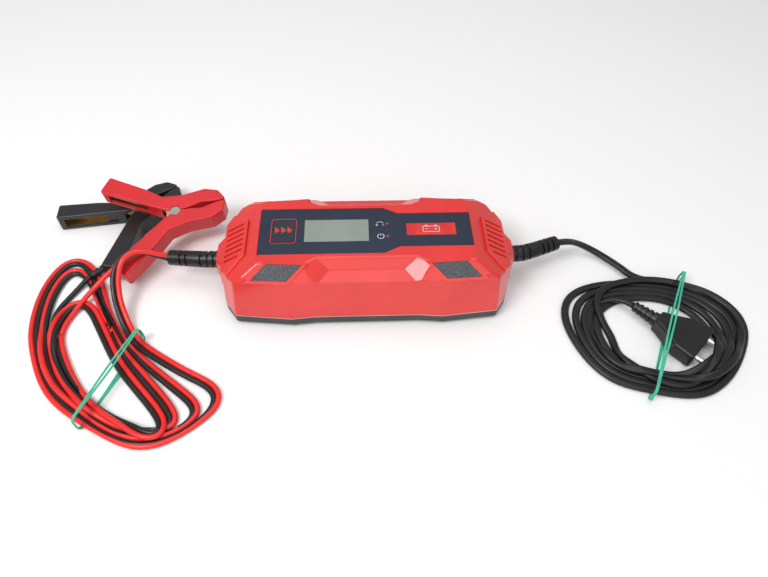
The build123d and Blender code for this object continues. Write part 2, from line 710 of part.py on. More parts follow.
# ---------------------------------------------------------------- plug
def plug_body():
    """A flat two-pin moulded plug: narrow where the lead enters, wide at the pins."""
    x0, x1 = PLUG_SLEEVE_L, PLUG_SLEEVE_L + PLUG_BODY_L
    half = [(x0, 5.2), (x0 + 8, 8.5), (x0 + 19, 14.8), (x1, 16.2)]
    outline = make_face(Polyline(*half, *[(x, -y) for x, y in reversed(half)], close=True))
    body = Pos(0, 0, -PLUG_T / 2) * extrude(outline, PLUG_T)
    body = fillet(body.edges().filter_by(Axis.Z), 2.0)
    flats = body.faces().sort_by(Axis.Z)
    body = fillet(flats[-1].edges() + flats[0].edges(), 1.8)
    return PLUG_FRAME * body


def plug_sleeve():
    sleeve = Rot(0, 90, 0) * Pos(0, 0, PLUG_SLEEVE_L / 2) * Cone(3.6, 5.0, PLUG_SLEEVE_L)
    for i in range(4):
        x = 2.5 + 3.6 * i
        rib = Pos(x, 0, 0) * Rot(0, 90, 0) * (Cylinder(8, 1.6) - Cylinder(2.9, 3) - Box(1.4, 20, 4))
        sleeve -= rib
    return PLUG_FRAME * sleeve


def plug_pins():
    pins = []
    x0 = PLUG_SLEEVE_L + PLUG_BODY_L
    for sy in (1, -1):
        y = sy * PIN_SPACING / 2
        pin = Pos(x0 + PIN_L / 2, y, 0) * Rot(0, 90, 0) * Cylinder(PIN_R, PIN_L)
        pins.append(PLUG_FRAME * chamfer(pin.faces().sort_by(Axis.X)[-1].edges(), 0.5))
    return Compound(children=pins)


def plug_space():
    """The room the plug takes inside the coil."""
    x1 = PLUG_SLEEVE_L + PLUG_BODY_L
    sleeve = box(-1, PLUG_SLEEVE_L, -5.6, 5.6, -9, 12)
    body = box(PLUG_SLEEVE_L - 1, x1 + 0.5, -16.8, 16.8, -9, 12)
    pins = box(x1, x1 + PIN_L + 0.6, -12.0, 12.0, -9, 12)
    return PLUG_FRAME * (sleeve + body + pins)


# ---------------------------------------------------------------- spring clamps
def handle_point(along, across):
    """A point of the upper handle: along it from the pivot, and across towards the outside."""
    a = radians(HANDLE_ANGLE)
    return (-along * cos(a) + across * sin(a), along * sin(a) + across * cos(a))


def arm_outline():
    """Side view of the upper arm: jaw to the right of the pivot, handle up to the left."""
    return [
        (JAW_L, 0.35), (30.0, 0.35), (19.0, 2.4), (9.0, 0.35), (0.0, 0.35), (-4.0, 1.7), (-8.0, 3.4),
        handle_point(HANDLE_L, -6.8), handle_point(HANDLE_L + 0.5, 7.2), handle_point(30, 8.2),
        (-7.0, 15.2), (6.0, 12.6), (24.0, 13.4), (33.0, 9.4),
    ]


def arm_face(inset):
    """The arm's outline with its outer corners rounded, shrunk by inset."""
    face = make_face(Polyline(*arm_outline(), close=True))
    corners = [v for v in face.vertices() if v.X < -30 or v.X > 20]
    face = fillet(corners, ARM_OUTLINE_R)
    return offset(face, amount=-inset) if inset else face


def slab_of(face, width):
    return Pos(0, 0, -width / 2) * extrude(face, width)


def arm_cover(plate_w):
    """The vinyl sleeve over one arm, open along the inner side of the handle."""
    cover = slab_of(arm_face(0), CLAMP_W)
    sides = cover.faces().sort_by(Axis.Z)
    cover = fillet(sides[-1].edges() + sides[0].edges(), COVER_R)
    cover -= slab_of(arm_face(COVER_T), plate_w + 0.02)
    cover -= slab_of(handle_window(), plate_w - 1.0)
    cover -= slab_of(ear_face() + Circle(10.5), plate_w + 0.02)
    cover -= slab_of(Circle(EAR_R + 0.6), CABLE_PLATE_W + 0.1)
    return cover - slab_of(Circle(RIVET_HEAD_R + 0.5), CLAMP_W + 2)


def handle_window():
    """The long opening in the handle's inner side, from near the pivot to near its end."""
    corners = [handle_point(16, -9), handle_point(54, -9), handle_point(54, -4.6), handle_point(16, -2.0)]
    return make_face(Polyline(*corners, close=True))


def arm_plate(width, ear_gap):
    """The folded metal channel inside one arm, with its two pivot ears and toothed jaw."""
    face = arm_face(COVER_T)
    plate = slab_of(face, width)
    inner = offset(face, amount=-PLATE_T)
    open_side = make_face(Polyline(
        handle_point(10, -12), handle_point(HANDLE_L - 2.6, -12), handle_point(HANDLE_L - 2.6, 4.6),
        handle_point(10, 4.6), close=True))
    plate -= slab_of(inner, width - 2 * PLATE_T)
    plate -= slab_of(open_side & face, width - 2 * PLATE_T)
    plate -= slab_of(Circle(10.5), width - 2 * PLATE_T)
    ears = slab_of(ear_face(), width) - slab_of(ear_face() + Circle(9.5), width - 2 * PLATE_T)
    plate = plate + ears
    return plate - slab_of(Circle(RIVET_R + ear_gap), width + 2)


def ear_face():
    """A rounded ear around the pivot, running out to the arm's metal."""
    corners = [(-EAR_R, 0.5), (-9.0, 8.5), (0, 10.6), (9.5, 8.0), (EAR_R, 0.5)]
    return Circle(EAR_R) + make_face(Polyline(*corners, close=True))


def clamp_rivet():
    heads = [Pos(0, 0, s * (CABLE_PLATE_W / 2 + 0.55)) * Cylinder(RIVET_HEAD_R, 1.0) for s in (1, -1)]
    return Cylinder(RIVET_R, CABLE_PLATE_W + 1.0) + heads


def clamp_spring():
    """A torsion spring around the rivet: close-wound coils and two legs along the handles."""
    body = Cylinder(SPRING_R, 6.0) - Cylinder(SPRING_R - 2 * SPRING_WIRE_R, 7.0)
    legs = []
    for side, z in ((1, 2.25), (-1, -2.25)):
        x, y = handle_point(22, 2.4)
        start = Vector(-1.2, side * 3.4, z)
        end = Vector(x, side * y, z)
        run = end - start
        middle = Plane(origin=start, z_dir=run).location * Pos(0, 0, run.length / 2)
        legs.append(middle * Cylinder(SPRING_WIRE_R, run.length))
    return body + legs


def clamp_boot(colour):
    """The wire's sleeve, clipped into the end of the cable arm's channel."""
    route = BOOTS[colour]
    inner, outer = Vector(*route[0]), Vector(*route[1])
    run = outer - inner
    place = Plane(origin=inner, z_dir=run).location
    boot = place * Pos(0, 0, run.length / 2) * Cone(BOOT_R, 2.6, run.length)
    for i in range(3):
        z = run.length * (0.5 + 0.14 * i)
        boot -= place * Pos(0, 0, z) * (Cylinder(6, 0.9) - Cylinder(2.2, 2))
    return boot


def boot_space(colour):
    inner, outer = (Vector(*point) for point in BOOTS[colour])
    run = outer - inner
    middle = Plane(origin=inner, z_dir=run).location * Pos(0, 0, run.length / 2)
    return middle * Cylinder(BOOT_R + 0.02, run.length + 0.2)


def save_clamp(colour):
    place = CLAMPS[colour]
    free_cover = arm_cover(FREE_PLATE_W)
    cable_cover = mirror(arm_cover(CABLE_PLATE_W), Plane.XZ)
    save(f"{colour}_clamp_free_cover", place * free_cover)
    save(f"{colour}_clamp_cable_cover", place * cable_cover - boot_space(colour))
    save(f"{colour}_clamp_free_plate", place * arm_plate(FREE_PLATE_W, RIVET_GAP))
    cable_plate = mirror(arm_plate(CABLE_PLATE_W, 0.0), Plane.XZ)
    save(f"{colour}_clamp_cable_plate", place * cable_plate - boot_space(colour))
    save(f"{colour}_clamp_rivet", place * clamp_rivet())
    save(f"{colour}_clamp_spring", place * clamp_spring())
    save(f"{colour}_clamp_boot", clamp_boot(colour))


def clamp_space(colour):
    """The room a clamp's cable arm takes, where the output coil passes over it."""
    grown = mirror(offset(make_face(Polyline(*arm_outline(), close=True)), amount=0.8), Plane.XZ)
    return CLAMPS[colour] * slab_of(grown, CLAMP_W + 1.6)


# ---------------------------------------------------------------- rubber bands on the coils
def along_band(ends, tool):
    """Move a block drawn along X to the middle of a band, in line with it."""
    x0, y0, x1, y1 = ends
    return Pos((x0 + x1) / 2, (y0 + y1) / 2, 0) * Rot(0, 0, degrees(atan2(y1 - y0, x1 - x0))) * tool


def half_length(ends):
    x0, y0, x1, y1 = ends
    return hypot(x1 - x0, y1 - y0) / 2


def coil_band(ends):
    """A flat loop of rubber around a coil, from one side of it to the other."""
    half = half_length(ends)
    outer = box(-half, half, -BAND_W / 2, BAND_W / 2, 0, BAND_H)
    inner = box(-half + BAND_T, half - BAND_T, -BAND_W, BAND_W, 0.6, BAND_H - BAND_T)
    return along_band(ends, outer - inner)


def band_space(ends):
    """The room a band takes: a loop a little thicker than the band, open to the outside."""
    half = half_length(ends)
    block = box(-half - 5, half + 5, -BAND_W / 2 - 0.1, BAND_W / 2 + 0.1, -1, BAND_H + 1)
    inset = BAND_T + 0.1
    core = box(-half + inset, half - inset, -BAND_W, BAND_W, 0.7, BAND_H - inset)
    return along_band(ends, block - core)


def mains_coil():
    coil = coil_solid(MAINS_COIL, MAINS_HOLE, COIL_H) - plug_space()
    return coil - band_space(MAINS_BAND)


def output_coil():
    coil = coil_solid(OUTPUT_COIL, OUTPUT_HOLE, COIL_H)
    coil -= Pos(0, 0, -1) * extrude(make_face(Spline(*OUTPUT_SIDE_HOLE, periodic=True)), COIL_H + 2)
    for colour in CLAMPS:
        coil -= clamp_space(colour)
        coil -= boot_space(colour)
    return coil - band_space(OUTPUT_BAND)


# ---------------------------------------------------------------- write every piece
PIECES = [
    top_shell, base_shell, shell_gasket, case_screws, rubber_feet, panel_overlay, display_window, lcd_glass,
    lcd_holder, display_board, mode_button, switch_plunger, mode_switch, light_pipes, indicator_leds,
    circuit_board, board_screws, transformer_core, transformer_winding, input_capacitor, output_capacitors,
    heat_sink, power_transistors, relay, fuse, line_filter_choke, control_chip, mains_coil, output_coil,
    plug_body, plug_sleeve, plug_pins,
]
LEADS = {
    "mains_lead": (MAINS_ROUTE, MAINS_W),
    "output_lead": (OUTPUT_ROUTE, TWIN_W),
    "black_clamp_wire": (BLACK_WIRE_ROUTE, WIRE_D),
    "red_clamp_wire": (RED_WIRE_ROUTE, WIRE_D),
}
for build in PIECES:
    save(build.__name__, build())
for node, (route, diameter) in LEADS.items():
    save(node, lead_tube(route, diameter, node))
for node, ends in (("mains_coil_band", MAINS_BAND), ("output_coil_band", OUTPUT_BAND)):
    save(node, coil_band(ends))
for lead, sx, end in (("mains", 1, RELIEF_END), ("output", -1, OUTPUT_RELIEF_END)):
    save(f"{lead}_inner_wires", inner_wires(sx))
    save(f"{lead}_strain_relief", strain_relief(end, sx))
for sx, x_name in ((-1, "left"), (1, "right")):
    for sy, y_name in ((-1, "front"), (1, "rear")):
        save(f"{y_name}_{x_name}_grip_pad", grip_pad(sx, sy))
for colour in CLAMPS:
    save_clamp(colour)
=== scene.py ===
import json
import math

import bmesh
import bpy
import numpy as np
from mathutils import Matrix, Vector


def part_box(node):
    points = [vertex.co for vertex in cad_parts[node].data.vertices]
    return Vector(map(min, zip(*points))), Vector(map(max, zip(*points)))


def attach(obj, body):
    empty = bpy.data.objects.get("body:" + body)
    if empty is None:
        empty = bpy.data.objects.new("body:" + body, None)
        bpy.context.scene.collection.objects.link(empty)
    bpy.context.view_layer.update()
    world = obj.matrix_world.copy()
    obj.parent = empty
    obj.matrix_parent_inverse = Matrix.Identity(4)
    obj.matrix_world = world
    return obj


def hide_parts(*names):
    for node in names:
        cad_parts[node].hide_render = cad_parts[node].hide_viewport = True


# A car battery charger: a faceted red housing with a navy display panel, a coiled flat mains lead
# and a coiled twin output lead with two spring clamps. Lengths named here are in millimetres,
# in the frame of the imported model, and MM turns them into metres.

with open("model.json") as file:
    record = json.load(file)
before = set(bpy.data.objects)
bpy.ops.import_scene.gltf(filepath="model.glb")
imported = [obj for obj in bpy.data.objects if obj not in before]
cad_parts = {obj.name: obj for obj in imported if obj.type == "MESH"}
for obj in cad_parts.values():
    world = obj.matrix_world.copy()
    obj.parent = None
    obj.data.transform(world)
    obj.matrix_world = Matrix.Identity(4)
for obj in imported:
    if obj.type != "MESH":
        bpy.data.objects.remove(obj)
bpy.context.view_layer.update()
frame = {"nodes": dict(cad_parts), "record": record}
MM = 0.001
ROOT = "charger"

# ---------------------------------------------------------------- places the frame gives
DECK_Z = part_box("top_shell")[1][2] / MM
PANEL_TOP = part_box("panel_overlay")[1][2] / MM


# ---------------------------------------------------------------- materials
LOOKS = {}               # every material of the object, by its name


def new_look(name):
    """A new material, with its node tree and its shader."""
    mat = bpy.data.materials.new(name)
    mat.use_nodes = True
    return mat, mat.node_tree, mat.node_tree.nodes["Principled BSDF"]


def noise_fac(tree, scale, detail, low, high):
    """A noise in the object's own coordinates, stretched to the range 0 to 1."""
    place = tree.nodes.new("ShaderNodeTexCoord")
    noise = tree.nodes.new("ShaderNodeTexNoise")
    noise.inputs["Scale"].default_value = scale
    noise.inputs["Detail"].default_value = detail
    ramp = tree.nodes.new("ShaderNodeMapRange")
    ramp.inputs["From Min"].default_value = low
    ramp.inputs["From Max"].default_value = high
    tree.links.new(place.outputs["Object"], noise.inputs["Vector"])
    tree.links.new(noise.outputs["Fac"], ramp.inputs["Value"])
    return ramp.outputs["Result"]


def spread(tree, fac, low, high):
    """Maps a 0 to 1 value to the range low to high."""
    ramp = tree.nodes.new("ShaderNodeMapRange")
    ramp.inputs["To Min"].default_value = low
    ramp.inputs["To Max"].default_value = high
    tree.links.new(fac, ramp.inputs["Value"])
    return ramp.outputs["Result"]


def mixed(tree, fac, first, second):
    """Mixes two colours by a 0 to 1 value."""
    mix = tree.nodes.new("ShaderNodeMix")
    mix.data_type = "RGBA"
    mix.inputs["A"].default_value = (*first, 1)
    mix.inputs["B"].default_value = (*second, 1)
    tree.links.new(fac, mix.inputs["Factor"])
    return mix.outputs["Result"]


def bumped(tree, bsdf, height, strength, distance):
    """Bumps a surface by a height, which is distance deep."""
    bump = tree.nodes.new("ShaderNodeBump")
    bump.inputs["Strength"].default_value = strength
    bump.inputs["Distance"].default_value = distance
    tree.links.new(height, bump.inputs["Height"])
    tree.links.new(bump.outputs["Normal"], bsdf.inputs["Normal"])


def finish(name, dark, light, rough, patch=35.0, grain=1400.0, bump=0.15, coat=0.0, coat_rough=0.08):
    """A moulded surface: its shade varies in soft patches, and its gloss and bump in a fine grain."""
    LOOKS[name], tree, bsdf = new_look(name)
    soft = noise_fac(tree, patch, 4, 0.32, 0.68)
    fine = noise_fac(tree, grain, 3, 0.3, 0.7)
    tree.links.new(mixed(tree, soft, dark, light), bsdf.inputs["Base Color"])
    tree.links.new(spread(tree, fine, *rough), bsdf.inputs["Roughness"])
    bumped(tree, bsdf, fine, bump, 0.1 * MM)
    bsdf.inputs["Coat Weight"].default_value = coat
    bsdf.inputs["Coat Roughness"].default_value = coat_rough


FLAKES = 3600.0          # flakes in a metre of the grip pads


def sparkle(name):
    """Dark grip material with fine bright flakes."""
    LOOKS[name], tree, bsdf = new_look(name)
    place = tree.nodes.new("ShaderNodeTexCoord")
    cells = tree.nodes.new("ShaderNodeTexVoronoi")
    cells.inputs["Scale"].default_value = FLAKES
    tree.links.new(place.outputs["Object"], cells.inputs["Vector"])
    split = tree.nodes.new("ShaderNodeSeparateColor")
    tree.links.new(cells.outputs["Color"], split.inputs["Color"])
    flake = tree.nodes.new("ShaderNodeMapRange")
    flake.inputs["From Min"].default_value = 0.45
    flake.inputs["From Max"].default_value = 1.0
    tree.links.new(split.outputs["Red"], flake.inputs["Value"])
    colour = mixed(tree, flake.outputs["Result"], (0.040, 0.046, 0.052), (0.16, 0.17, 0.18))
    tree.links.new(colour, bsdf.inputs["Base Color"])
    tree.links.new(spread(tree, split.outputs["Green"], 0.3, 0.75), bsdf.inputs["Roughness"])
    bumped(tree, bsdf, split.outputs["Blue"], 0.5, 0.15 * MM)


def brushed(name, dark, light, rough, stretch):
    """Sheet metal with fine rolling lines, drawn out by stretch."""
    LOOKS[name], tree, bsdf = new_look(name)
    place = tree.nodes.new("ShaderNodeTexCoord")
    scale = tree.nodes.new("ShaderNodeMapping")
    scale.inputs["Scale"].default_value = stretch
    noise = tree.nodes.new("ShaderNodeTexNoise")
    noise.inputs["Scale"].default_value = 120.0
    noise.inputs["Detail"].default_value = 6
    tree.links.new(place.outputs["Object"], scale.inputs["Vector"])
    tree.links.new(scale.outputs["Vector"], noise.inputs["Vector"])
    tree.links.new(mixed(tree, noise.outputs["Fac"], dark, light), bsdf.inputs["Base Color"])
    tree.links.new(spread(tree, noise.outputs["Fac"], *rough), bsdf.inputs["Roughness"])
    bumped(tree, bsdf, noise.outputs["Fac"], 0.25, 0.08 * MM)
    bsdf.inputs["Metallic"].default_value = 1.0


finish("red_abs", (0.70, 0.028, 0.024), (0.78, 0.036, 0.030), (0.27, 0.36), bump=0.06, coat=0.35,
       coat_rough=0.12)
finish("charcoal_abs", (0.036, 0.039, 0.040), (0.052, 0.055, 0.056), (0.45, 0.6), bump=0.5)
# the seal between the shells: its pale pinkish colour is a painted highlight, the light line along the
# red shell's lower edge
finish("gasket_silicone", (0.56, 0.42, 0.36), (0.68, 0.56, 0.50), (0.4, 0.5))
brushed("screw_steel", (0.42, 0.42, 0.43), (0.62, 0.62, 0.62), (0.25, 0.42), (1, 9, 1))
finish("foot_rubber", (0.020, 0.020, 0.020), (0.032, 0.032, 0.032), (0.6, 0.75), bump=0.6)
finish("navy_overlay", (0.010, 0.018, 0.040), (0.013, 0.023, 0.049), (0.26, 0.34), bump=0.05,
       coat=0.25, coat_rough=0.15)
finish("display_acrylic", (0.235, 0.275, 0.245), (0.275, 0.315, 0.285), (0.16, 0.24), bump=0.02,
       coat=1.0, coat_rough=0.03)
finish("lcd", (0.24, 0.27, 0.24), (0.28, 0.31, 0.28), (0.1, 0.15))
finish("white_holder", (0.70, 0.70, 0.67), (0.76, 0.76, 0.73), (0.4, 0.5))
finish("circuit_green", (0.010, 0.09, 0.03), (0.016, 0.13, 0.045), (0.3, 0.45))
finish("switch_black", (0.014, 0.014, 0.014), (0.024, 0.024, 0.024), (0.35, 0.5))
finish("clear_pipe", (0.20, 0.055, 0.062), (0.30, 0.085, 0.092), (0.2, 0.3), coat=0.6)
sparkle("grip_texture")
finish("ferrite", (0.035, 0.034, 0.033), (0.060, 0.058, 0.055), (0.5, 0.65), bump=0.6)
finish("copper_winding", (0.50, 0.30, 0.03), (0.62, 0.40, 0.05), (0.25, 0.4), coat=0.3)
finish("capacitor_sleeve", (0.008, 0.010, 0.035), (0.014, 0.017, 0.055), (0.25, 0.35))
brushed("aluminium_sink", (0.48, 0.48, 0.49), (0.68, 0.68, 0.69), (0.28, 0.45), (1, 1, 12))
finish("chip_black", (0.012, 0.012, 0.013), (0.022, 0.022, 0.023), (0.4, 0.55), bump=0.4)
finish("relay_blue", (0.012, 0.07, 0.20), (0.018, 0.10, 0.27), (0.25, 0.35))
finish("fuse_glass", (0.55, 0.56, 0.56), (0.70, 0.71, 0.71), (0.1, 0.2), coat=0.8)
finish("choke_core", (0.33, 0.10, 0.02), (0.45, 0.16, 0.03), (0.25, 0.35), grain=900, bump=0.8)
finish("black_pvc", (0.0050, 0.0050, 0.0058), (0.0095, 0.0095, 0.0105), (0.30, 0.42), bump=0.12)
finish("red_pvc", (0.74, 0.020, 0.018), (0.84, 0.030, 0.026), (0.28, 0.38), bump=0.10)
finish("wire_black", (0.010, 0.009, 0.010), (0.018, 0.015, 0.016), (0.28, 0.38), bump=0.10)
finish("band_green", (0.035, 0.42, 0.25), (0.070, 0.56, 0.36), (0.5, 0.65), grain=2500, bump=0.5)
brushed("pin_nickel", (0.60, 0.58, 0.54), (0.78, 0.76, 0.72), (0.16, 0.3), (1, 6, 1))
finish("clamp_vinyl_red", (0.58, 0.008, 0.012), (0.66, 0.012, 0.018), (0.36, 0.46), bump=0.18,
       coat=0.15, coat_rough=0.3)
finish("clamp_vinyl_black", (0.011, 0.011, 0.012), (0.018, 0.018, 0.019), (0.34, 0.46), bump=0.18,
       coat=0.15, coat_rough=0.3)
brushed("clamp_brass", (0.50, 0.38, 0.20), (0.72, 0.60, 0.38), (0.22, 0.4), (9, 1, 1))
brushed("rivet_steel", (0.38, 0.35, 0.31), (0.56, 0.53, 0.48), (0.25, 0.4), (1, 7, 1))
finish("wire_mixed", (0.30, 0.10, 0.02), (0.40, 0.15, 0.03), (0.3, 0.4))
finish("print_red", (0.62, 0.030, 0.030), (0.70, 0.040, 0.038), (0.3, 0.4), bump=0.03)
finish("badge_red", (0.55, 0.018, 0.020), (0.74, 0.045, 0.040), (0.25, 0.35), patch=60, bump=0.03)
finish("print_white", (0.55, 0.57, 0.60), (0.62, 0.64, 0.67), (0.35, 0.45), bump=0.03)
# a dark navy used only for the painted shade on the mode key's sloped lower face
finish("painted_shade_dark", (0.0035, 0.0065, 0.017), (0.005, 0.009, 0.022), (0.22, 0.3), bump=0.03)
finish("print_slate", (0.020, 0.027, 0.038), (0.026, 0.034, 0.046), (0.26, 0.34), bump=0.03)

slot_of = {part["node"]: part["material_slot"] for part in frame["record"]["subparts"]}
for node, obj in frame["nodes"].items():
    obj.data.materials.clear()
    obj.data.materials.append(LOOKS.get(slot_of[node], LOOKS["red_pvc"]))


# ---------------------------------------------------------------- mesh helpers
def piece(name, verts, faces, looks, body=ROOT, smooth=True, slots=None):
    """A new mesh from millimetre points, on a body and in a material slot."""
    mesh = bpy.data.meshes.new(name)
    mesh.from_pydata([Vector(v) * MM for v in verts], [], faces)
    for look in looks:
        mesh.materials.append(LOOKS[look])
    if slots is not None:
        mesh.polygons.foreach_set("material_index", slots)
    mesh.polygons.foreach_set("use_smooth", [smooth] * len(mesh.polygons))
    mesh.update()
    work = bmesh.new()
    work.from_mesh(mesh)
    bmesh.ops.recalc_face_normals(work, faces=work.faces)
    work.to_mesh(mesh)
    work.free()
    obj = bpy.data.objects.new(name, mesh)
    bpy.context.scene.collection.objects.link(obj)
    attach(obj, body)
    return obj


MERGE = 0.004            # points of the CAD mesh that stand nearer than this are one
SHARP = 28               # edges that turn by more degrees than this stay sharp
FACE_WEIGHT = 90         # how much large faces rule the shading


def softened(node, body):
    """A copy of a CAD node, shaded smoothly over its rounded edges, which stands in for the node."""
    mesh = frame["nodes"][node].data.copy()
    obj = bpy.data.objects.new(node + "_soft", mesh)
    bpy.context.scene.collection.objects.link(obj)
    work = bmesh.new()
    work.from_mesh(mesh)
    bmesh.ops.remove_doubles(work, verts=work.verts, dist=MERGE * MM)
    for f in work.faces:
        f.smooth = True
    for e in work.edges:
        e.smooth = len(e.link_faces) == 2 and math.degrees(e.calc_face_angle(0)) < SHARP
    work.to_mesh(mesh)
    work.free()
    weighted = obj.modifiers.new("weighted", "WEIGHTED_NORMAL")
    weighted.keep_sharp = True
    weighted.weight = FACE_WEIGHT
    obj.data = bpy.data.meshes.new_from_object(obj.evaluated_get(bpy.context.evaluated_depsgraph_get()))
    obj.modifiers.clear()
    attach(obj, body)
    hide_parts(node)
    return obj


ON_FLOOR = 0.02          # nothing lies lower than this


def sweep(centres, across, section, closed=False):
    """Points and faces of a tube. section holds (across, up) points, and across its wide directions."""
    centres = np.asarray(centres)
    if closed:
        along = np.roll(centres, -1, 0) - np.roll(centres, 1, 0)
    else:
        along = np.gradient(centres, axis=0)
    along /= np.linalg.norm(along, axis=1)[:, None]
    side = across - (across * along).sum(1)[:, None] * along
    side /= np.linalg.norm(side, axis=1)[:, None]
    up = np.cross(side, along)
    verts = [c + a * s + b * u for c, s, u in zip(centres, side, up) for a, b in section]
    verts = [(x, y, max(z, ON_FLOOR)) for x, y, z in verts]
    count, n = len(section), len(centres)
    faces = []
    for i in range(n if closed else n - 1):
        for j in range(count):
            k, nxt = (j + 1) % count, (i + 1) % n
            faces.append((i * count + j, i * count + k, nxt * count + k, nxt * count + j))
    if not closed:
        faces.append(tuple(range(count)))
        faces.append(tuple((n - 1) * count + j for j in range(count)))
    return verts, faces


def circle(radius, count):
    """The outline of a circle."""
    turn = 2 * math.pi / count
    return [(radius * math.cos(turn * i), radius * math.sin(turn * i)) for i in range(count)]


def rounded(width, height, radius, steps=4, centre=(0, 0)):
    """The outline of a rectangle with round corners."""
    points = []
    for k, (sx, sy) in enumerate(((1, 1), (-1, 1), (-1, -1), (1, -1))):
        for i in range(steps + 1):
            a = math.pi / 2 * (k + i / steps)
            x = sx * (width / 2 - radius) + radius * math.cos(a)
            y = sy * (height / 2 - radius) + radius * math.sin(a)
            points.append((centre[0] + x, centre[1] + y))
    return points


# ---------------------------------------------------------------- how flexible wires lie down
SAMPLE = 2.5             # spacing of the points that stand for a wire


def spline_points(points):
    """Points along one smooth open curve, a SAMPLE apart."""
    curve = bpy.data.curves.new("route", "CURVE")
    curve.dimensions = "3D"
    curve.resolution_u = 12
    spline = curve.splines.new("NURBS")
    spline.points.add(len(points) - 1)
    for target, point in zip(spline.points, points):
        target.co = (*[c * MM for c in point], 1.0)
    spline.order_u = 3
    spline.use_endpoint_u = True
    holder = bpy.data.objects.new("route", curve)
    bpy.context.scene.collection.objects.link(holder)
    line = bpy.data.meshes.new_from_object(holder.evaluated_get(bpy.context.evaluated_depsgraph_get()))
    dense = np.array([v.co[:] for v in line.vertices]) / MM
    bpy.data.objects.remove(holder)
    reach = np.concatenate([[0], np.cumsum(np.linalg.norm(np.diff(dense, axis=0), axis=1))])
    steps = np.linspace(0, reach[-1], max(8, round(reach[-1] / SAMPLE)))
    return np.stack([np.interp(steps, reach, dense[:, k]) for k in range(3)], 1)


def sideways(line):
    """The horizontal direction to the left of a line, at each of its points."""
    along = np.gradient(line, axis=0)
    left = np.stack([-along[:, 1], along[:, 0], np.zeros(len(line))], 1)
    return left / np.linalg.norm(left, axis=1)[:, None]


def pair_of(line, gap, roll):
    """Two lines beside a centre line. roll 0 puts the first on the left, 90 degrees on top."""
    left = sideways(line)
    along = np.gradient(line, axis=0)
    along /= np.linalg.norm(along, axis=1)[:, None]
    up = np.cross(along, left)
    offset = (np.cos(roll)[:, None] * left + np.sin(roll)[:, None] * up) * gap / 2
    return line + offset, line - offset


NEIGHBOURS = 14.0        # points nearer than this along a cord don't push each other
BLOCK = 256              # how many points are compared at a time


def close_pairs(points, place, reach):
    """Pairs of points that may touch: near in space, and not neighbours along the cord."""
    found = []
    for start in range(0, len(points), BLOCK):
        block = points[start:start + BLOCK]
        apart = np.linalg.norm(block[:, None] - points[None], axis=2)
        i, j = np.nonzero(apart < reach)
        i += start
        keep = (i < j) & (np.abs(place[i] - place[j]) * SAMPLE > NEIGHBOURS)
        found.append(np.stack([i[keep], j[keep]], 1))
    return np.concatenate(found)


def smoothed(shift, lengths, free):
    """Evens out how far the points of each line have moved, so that it stays a smooth curve."""
    start = 0
    for n in lengths:
        part = shift[start:start + n]
        for _ in range(3):
            middle = (part[:-2] + part[2:]) / 2
            part[1:-1] += 0.6 * (middle - part[1:-1])
        start += n
    return shift * free[:, None]


SEARCH_EVERY = 8         # rounds between two searches for close pairs
FALL = 0.14              # how far a wire sinks in a round
HOLD = 0.03              # how much of its way back a wire goes in a round
CLEARANCE = 0.05         # what is left between two wires
MOST_PUSH = 1.0          # the farthest that wires push each other at once
MOST_LIFT = 1.2          # the farthest that an obstacle pushes a wire at once
PUSH_SHARE = 0.7
ROUGH_ROUNDS = 6         # the last rounds, which aren't smoothed


def settle(lines, place, radius, partners, gap, free, obstacles, rounds):
    """Lays wires on the floor, on each other and on the obstacles, close to where they were drawn.

    place says how far along the cord each point is, partners are the points of the two wires that
    keep a gap, free is 0 where a point is held, and an obstacle is a ball, as (centre, radius).
    """
    drawn = np.concatenate(lines)
    lengths = [len(line) for line in lines]
    points = drawn.copy()
    for turn in range(rounds):
        if turn % SEARCH_EVERY == 0:
            pairs = close_pairs(points, place, 4 * radius + 2)
        points[:, 2] -= FALL * free
        points[:, :2] += HOLD * (drawn - points)[:, :2] * free[:, None]
        for _ in range(2):
            first, second = pairs[:, 0], pairs[:, 1]
            apart = points[first] - points[second]
            size = np.linalg.norm(apart, axis=1) + 1e-6
            short = np.clip(2 * radius + CLEARANCE - size, 0, MOST_PUSH)
            push = apart / size[:, None] * (short / 2)[:, None]
            np.add.at(points, first, push * free[first][:, None] * PUSH_SHARE)
            np.add.at(points, second, -push * free[second][:, None] * PUSH_SHARE)
            for centre, big in obstacles:
                apart = points - centre
                size = np.linalg.norm(apart, axis=1) + 1e-6
                short = np.clip(big + radius - size, 0, MOST_LIFT)
                points += apart / size[:, None] * (short * free)[:, None]
            one, two = partners[:, 0], partners[:, 1]
            apart = points[one] - points[two]
            size = np.linalg.norm(apart, axis=1) + 1e-6
            fix = apart / size[:, None] * ((gap - size) / 2)[:, None]
            points[one] += fix * free[one][:, None]
            points[two] -= fix * free[two][:, None]
            points[:, 2] = np.maximum(points[:, 2], radius)
        if turn < rounds - ROUGH_ROUNDS:
            points = drawn + smoothed(points - drawn, lengths, free)
            points[:, 2] = np.maximum(points[:, 2], radius)
    out, start = [], 0
    for n in lengths:
        line = points[start:start + n]
        for _ in range(10):
            middle = (line[:-2] + line[2:]) / 2
            line[1:-1] += 0.5 * (middle - line[1:-1]) * free[start + 1:start + n - 1, None]
        out.append(line)
        start += n
    return out


TURN_RISE = 2.4          # how much higher each turn of a coil is drawn than the one before


def turns(outer, inner, weights, low):
    """Coil turns: each goes round once, between the outer and the inner guide, on its own weights."""
    points = []
    stations = len(outer)
    for k, row in enumerate(weights):
        following = weights[k + 1] if k + 1 < len(weights) else row
        keys = list(row) + [following[0]]
        for i in range(stations):
            t = i / stations * len(row)
            a = int(t)
            w = keys[a] + (keys[a + 1] - keys[a]) * (t - a)
            x = outer[i][0] + (inner[i][0] - outer[i][0]) * w
            y = outer[i][1] + (inner[i][1] - outer[i][1]) * w
            points.append((x, y, low + TURN_RISE * (k + i / stations)))
    return points


